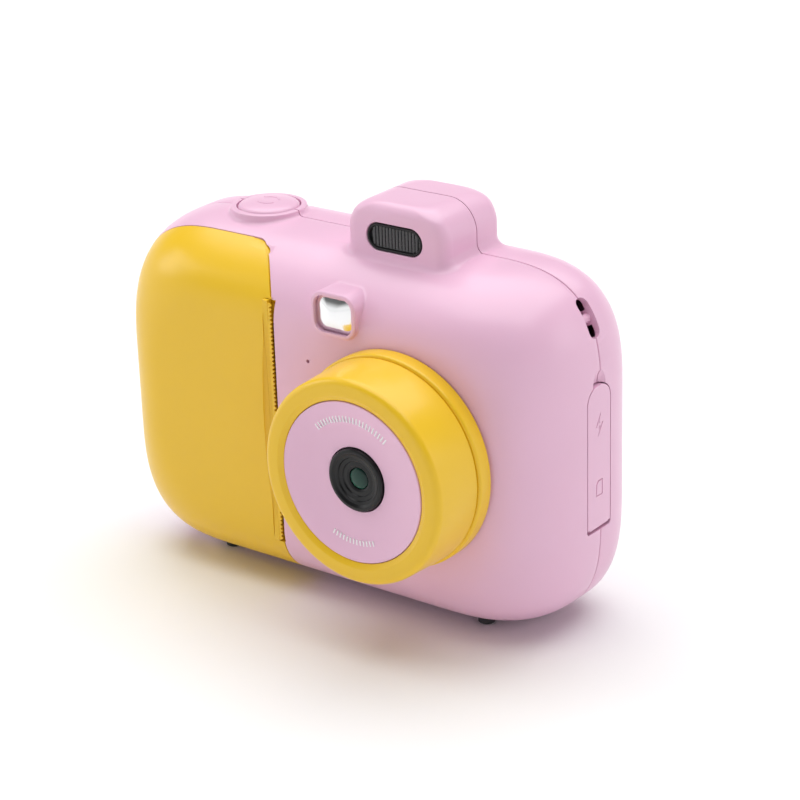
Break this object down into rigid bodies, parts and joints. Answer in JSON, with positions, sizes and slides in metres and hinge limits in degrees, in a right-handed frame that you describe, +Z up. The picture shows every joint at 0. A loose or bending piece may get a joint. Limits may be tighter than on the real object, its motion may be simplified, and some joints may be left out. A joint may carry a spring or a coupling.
{
  "type": "kids digital camera",
  "caption": "Children's instant-print camera with a yellow lens tube, a hinged paper cover with a thermal printer behind it, a flash hump, a shutter button and rear keys.",
  "frame": {"origin": "on the ground plane under the middle of the bounding box", "axes": "+X to the right seen from the front, +Y towards the back (the lens looks along -Y), +Z up"},
  "size_m": [0.1244, 0.064, 0.0969],
  "materials": {
    "pink_plastic": "satin moulded ABS, fine matt texture",
    "yellow_plastic": "satin moulded ABS",
    "black_plastic": "satin black moulded plastic",
    "lens_glass": "coated glass, green and violet reflections",
    "flash_lens": "smoked ribbed plastic window",
    "screen_glass": "black printed window, polished",
    "circuit_board": "green solder mask",
    "bright_chrome": "vacuum metallised cup",
    "mirror_chrome": "polished convex mirror",
    "led_phosphor": "yellow phosphor",
    "steel": "nickel plated steel",
    "roller_rubber": "matt rubber",
    "gear_plastic": "natural acetal",
    "print_head": "glazed ceramic",
    "thermal_paper": "coated thermal paper",
    "grey_plastic": "moulded core",
    "cell_foil": "foil pouch",
    "panel_metal": "stamped frame"
  },
  "bodies": {
    "camera_body": {"front_casing": "pink_plastic", "rear_casing": "pink_plastic", "lens_disc": "pink_plastic", "strap_bar": "pink_plastic", "lens_collar": "yellow_plastic", "lens_ring": "yellow_plastic", "lens_bezel": "black_plastic", "lens_barrel": "black_plastic", "printer_frame": "black_plastic", "shutter_switch": "black_plastic", "loudspeaker": "black_plastic", "memory_card": "black_plastic", "lens_glass": "lens_glass", "flash_window": "flash_lens", "screen_window": "screen_glass", "sensor_board": "circuit_board", "main_board": "circuit_board", "key_board": "circuit_board", "flash_reflector": "bright_chrome", "front_mirror": "mirror_chrome", "flash_led": "led_phosphor", "microphone": "steel", "cover_pin": "steel", "drive_motor": "steel", "head_spring": "steel", "shutter_spring": "steel", "flap_pin": "steel", "usb_socket": "steel", "card_socket": "steel", "foot_left_front": "roller_rubber", "foot_left_rear": "roller_rubber", "foot_right_front": "roller_rubber", "foot_right_rear": "roller_rubber", "thermal_head": "print_head", "battery_pack": "cell_foil", "lcd_panel": "panel_metal", "case_screw_left_low": "steel", "case_screw_left_high": "steel", "case_screw_right_low": "steel", "case_screw_right_high": "steel"},
    "paper_door": {"paper_cover": "yellow_plastic", "tear_bar": "yellow_plastic"},
    "platen_roller": {"platen_shaft": "steel", "platen_sleeve": "roller_rubber", "platen_gear": "gear_plastic"},
    "idler": {"idler_gear": "gear_plastic"},
    "motor_rotor": {"motor_pinion": "gear_plastic", "motor_shaft": "steel"},
    "paper_supply": {"paper_roll": "thermal_paper", "roll_core": "grey_plastic"},
    "shutter": {"shutter_button": "pink_plastic"},
    "port_door": {"port_flap": "pink_plastic"},
    "key_right": {"right_key": "yellow_plastic"},
    "key_up": {"up_key": "yellow_plastic"},
    "key_left": {"left_key": "yellow_plastic"},
    "key_down": {"down_key": "yellow_plastic"},
    "key_ok": {"ok_key": "yellow_plastic"},
    "key_menu": {"menu_key": "yellow_plastic"},
    "key_power": {"power_key": "yellow_plastic"}
  },
  "joints": [
    {"name": "cover_swing", "type": "hinge", "parent": "camera_body", "child": "paper_door", "pos_m": [-0.0604, -0.00115, 0.0428], "axis": [0, 0, -1], "range_deg": [0, 95]},
    {"name": "roll_spin", "type": "hinge", "parent": "camera_body", "child": "paper_supply", "pos_m": [-0.0386, 0.00575, 0.044], "axis": [0, 0, 1], "continuous": true},
    {"name": "platen_spin", "type": "hinge", "parent": "paper_door", "child": "platen_roller", "pos_m": [-0.0131, -0.00425, 0.044], "axis": [0, 0, 1], "continuous": true},
    {"name": "idler_spin", "type": "hinge", "parent": "camera_body", "child": "idler", "pos_m": [-0.0131, 0.00587, 0.0118], "axis": [0, 0, 1], "continuous": true},
    {"name": "motor_spin", "type": "hinge", "parent": "camera_body", "child": "motor_rotor", "pos_m": [-0.00756, 0.01247, 0.0118], "axis": [0, 0, 1], "continuous": true},
    {"name": "shutter_press", "type": "slide", "parent": "camera_body", "child": "shutter", "axis": [0, 0, -1], "range_m": [0, 0.0009], "stiffness_N_per_m": 600, "springref_m": -0.0006, "deforming": ["shutter_spring"]},
    {"name": "flap_swing", "type": "hinge", "parent": "camera_body", "child": "port_door", "pos_m": [0.0613, 0.01155, 0.0266], "axis": [0, 1, 0], "range_deg": [0, 95]},
    {"name": "right_press", "type": "slide", "parent": "camera_body", "child": "key_right", "axis": [0, -1, 0], "range_m": [0, 0.0007], "stiffness_N_per_m": 500, "springref_m": -0.0005},
    {"name": "up_press", "type": "slide", "parent": "camera_body", "child": "key_up", "axis": [0, -1, 0], "range_m": [0, 0.0007], "stiffness_N_per_m": 500, "springref_m": -0.0005},
    {"name": "left_press", "type": "slide", "parent": "camera_body", "child": "key_left", "axis": [0, -1, 0], "range_m": [0, 0.0007], "stiffness_N_per_m": 500, "springref_m": -0.0005},
    {"name": "down_press", "type": "slide", "parent": "camera_body", "child": "key_down", "axis": [0, -1, 0], "range_m": [0, 0.0007], "stiffness_N_per_m": 500, "springref_m": -0.0005},
    {"name": "ok_press", "type": "slide", "parent": "camera_body", "child": "key_ok", "axis": [0, -1, 0], "range_m": [0, 0.0007], "stiffness_N_per_m": 500, "springref_m": -0.0005},
    {"name": "menu_press", "type": "slide", "parent": "camera_body", "child": "key_menu", "axis": [0, -1, 0], "range_m": [0, 0.0007], "stiffness_N_per_m": 500, "springref_m": -0.0005},
    {"name": "power_press", "type": "slide", "parent": "camera_body", "child": "key_power", "axis": [0, -1, 0], "range_m": [0, 0.0007], "stiffness_N_per_m": 500, "springref_m": -0.0005}
  ],
  "couplings": [
    {"joint": "platen_spin", "follows": "roll_spin", "ratio": -3.25},
    {"joint": "idler_spin", "follows": "roll_spin", "ratio": 2.1667},
    {"joint": "motor_spin", "follows": "roll_spin", "ratio": -5.2}
  ]
}
